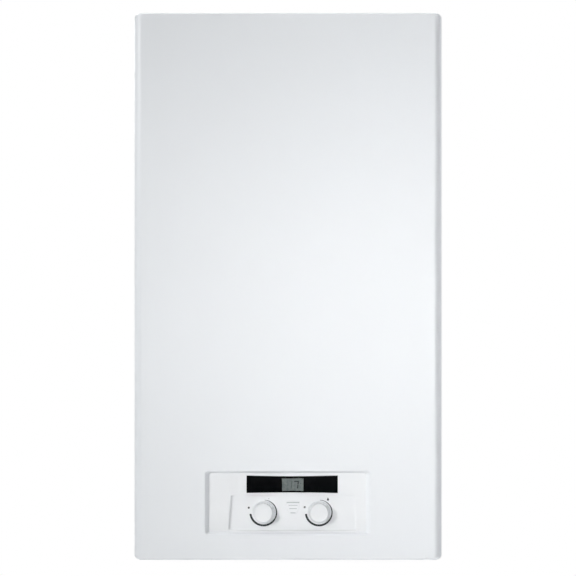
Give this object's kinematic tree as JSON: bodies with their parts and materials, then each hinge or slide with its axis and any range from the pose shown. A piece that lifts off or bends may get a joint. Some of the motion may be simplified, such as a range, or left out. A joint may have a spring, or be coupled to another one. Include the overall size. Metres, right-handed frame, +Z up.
{
  "type": "wall-hung combi boiler",
  "caption": "Wall-hung gas combi boiler: white lift-off casing, control fascia with display, knobs and button, sealed chamber, fan, burner, pump, valves and pipe ports inside.",
  "frame": {"origin": "centre of the rear frame's flat back face, on the wall plane", "axes": "+Z up, +Y into the wall, +X to the right seen from the front; the front faces -Y"},
  "size_m": [0.41, 0.3166, 0.769],
  "materials": {
    "white_coat": "satin powder coat with a fine orange peel",
    "white_plastic": "smooth satin moulding",
    "gloss_black": "polished",
    "lcd": "satin grey-green display",
    "galvanised": "zinc-coated sheet, dull",
    "aluminium": "cast, satin",
    "steel": "satin",
    "copper": "drawn copper, satin",
    "brass": "machined",
    "red_paint": "enamel",
    "grey_plastic": "fine texture",
    "black_plastic": "fine texture",
    "red_plastic": "satin",
    "blue_plastic": "satin",
    "rubber": "matte",
    "ceramic": "matte",
    "fibre": "matte fibre board",
    "glass": "polished",
    "board": "solder mask"
  },
  "bodies": {
    "chassis": {"rear_frame": "galvanised", "wall_bracket": "galvanised", "side_panel_left": "white_coat", "side_panel_right": "white_coat", "top_panel": "white_coat", "bottom_panel": "galvanised", "control_fascia": "white_plastic", "display_window": "gloss_black", "lcd_module": "lcd", "control_board": "board", "control_box_rear": "grey_plastic", "flue_gasket": "rubber", "flue_collar": "aluminium", "sealed_chamber": "galvanised", "chamber_cover": "galvanised", "sight_glass": "glass", "flue_hood": "galvanised", "fan_housing": "aluminium", "fan_motor": "steel", "air_pressure_switch": "black_plastic", "pressure_hose": "rubber", "heat_exchanger": "copper", "combustion_box": "galvanised", "insulation_lining": "fibre", "burner_bars": "steel", "burner_manifold": "aluminium", "ignition_electrode": "ceramic", "ionisation_electrode": "ceramic", "expansion_vessel": "red_paint", "expansion_pipe": "copper", "gas_valve": "aluminium", "gas_pipe": "copper", "gas_stub": "brass", "heating_flow_stub": "brass", "hot_water_stub": "brass", "cold_water_stub": "brass", "heating_return_stub": "brass", "hydraulic_block_return": "brass", "hydraulic_block_flow": "brass", "diverter_motor": "black_plastic", "pump_body": "grey_plastic", "pump_motor": "aluminium", "auto_air_vent": "brass", "plate_heat_exchanger": "steel", "flow_pipe": "copper", "return_pipe": "copper", "safety_valve_body": "brass", "water_pressure_sensor": "brass", "filling_tap_body": "brass"},
    "front_casing": {"front_casing": "white_coat", "casing_screw_left": "steel", "casing_screw_right": "steel"},
    "heating_knob": {"heating_knob": "white_plastic"},
    "hot_water_knob": {"hot_water_knob": "white_plastic"},
    "mode_button": {"mode_button": "white_plastic"},
    "fan_impeller": {"fan_impeller": "steel"},
    "pump_rotor": {"pump_rotor": "steel"},
    "diverter_spindle": {"diverter_spindle": "steel"},
    "filling_tap_knob": {"filling_tap_knob": "blue_plastic"},
    "safety_valve_knob": {"safety_valve_knob": "red_plastic"}
  },
  "joints": [
    {"name": "front_casing_lift_off", "type": "slide", "parent": "chassis", "child": "front_casing", "axis": [0, -1, 0], "range_m": [0, 0.3]},
    {"name": "heating_knob_turn", "type": "hinge", "parent": "chassis", "child": "heating_knob", "pos_m": [-0.0329, -0.3066, -0.3013], "axis": [0, 1, 0], "range_deg": [0, 270]},
    {"name": "hot_water_knob_turn", "type": "hinge", "parent": "chassis", "child": "hot_water_knob", "pos_m": [0.0411, -0.3066, -0.3013], "axis": [0, 1, 0], "range_deg": [0, 270]},
    {"name": "mode_button_press", "type": "slide", "parent": "chassis", "child": "mode_button", "axis": [0, 1, 0], "range_m": [0, 0.0015], "stiffness_N_per_m": 400},
    {"name": "fan_spin", "type": "hinge", "parent": "chassis", "child": "fan_impeller", "pos_m": [0, -0.14, 0.285], "axis": [0, -1, 0], "continuous": true},
    {"name": "pump_spin", "type": "hinge", "parent": "chassis", "child": "pump_rotor", "pos_m": [0.13, -0.122, -0.232], "axis": [0, -1, 0], "continuous": true},
    {"name": "diverter_shift", "type": "slide", "parent": "chassis", "child": "diverter_spindle", "axis": [0, 0, -1], "range_m": [0, 0.008]},
    {"name": "filling_tap_turn", "type": "hinge", "parent": "chassis", "child": "filling_tap_knob", "pos_m": [0.065, -0.18, -0.373], "axis": [0, 0, -1], "range_deg": [0, 270]},
    {"name": "safety_valve_turn", "type": "hinge", "parent": "chassis", "child": "safety_valve_knob", "pos_m": [0.15, -0.203, -0.312], "axis": [0, -1, 0], "range_deg": [0, 90]}
  ]
}
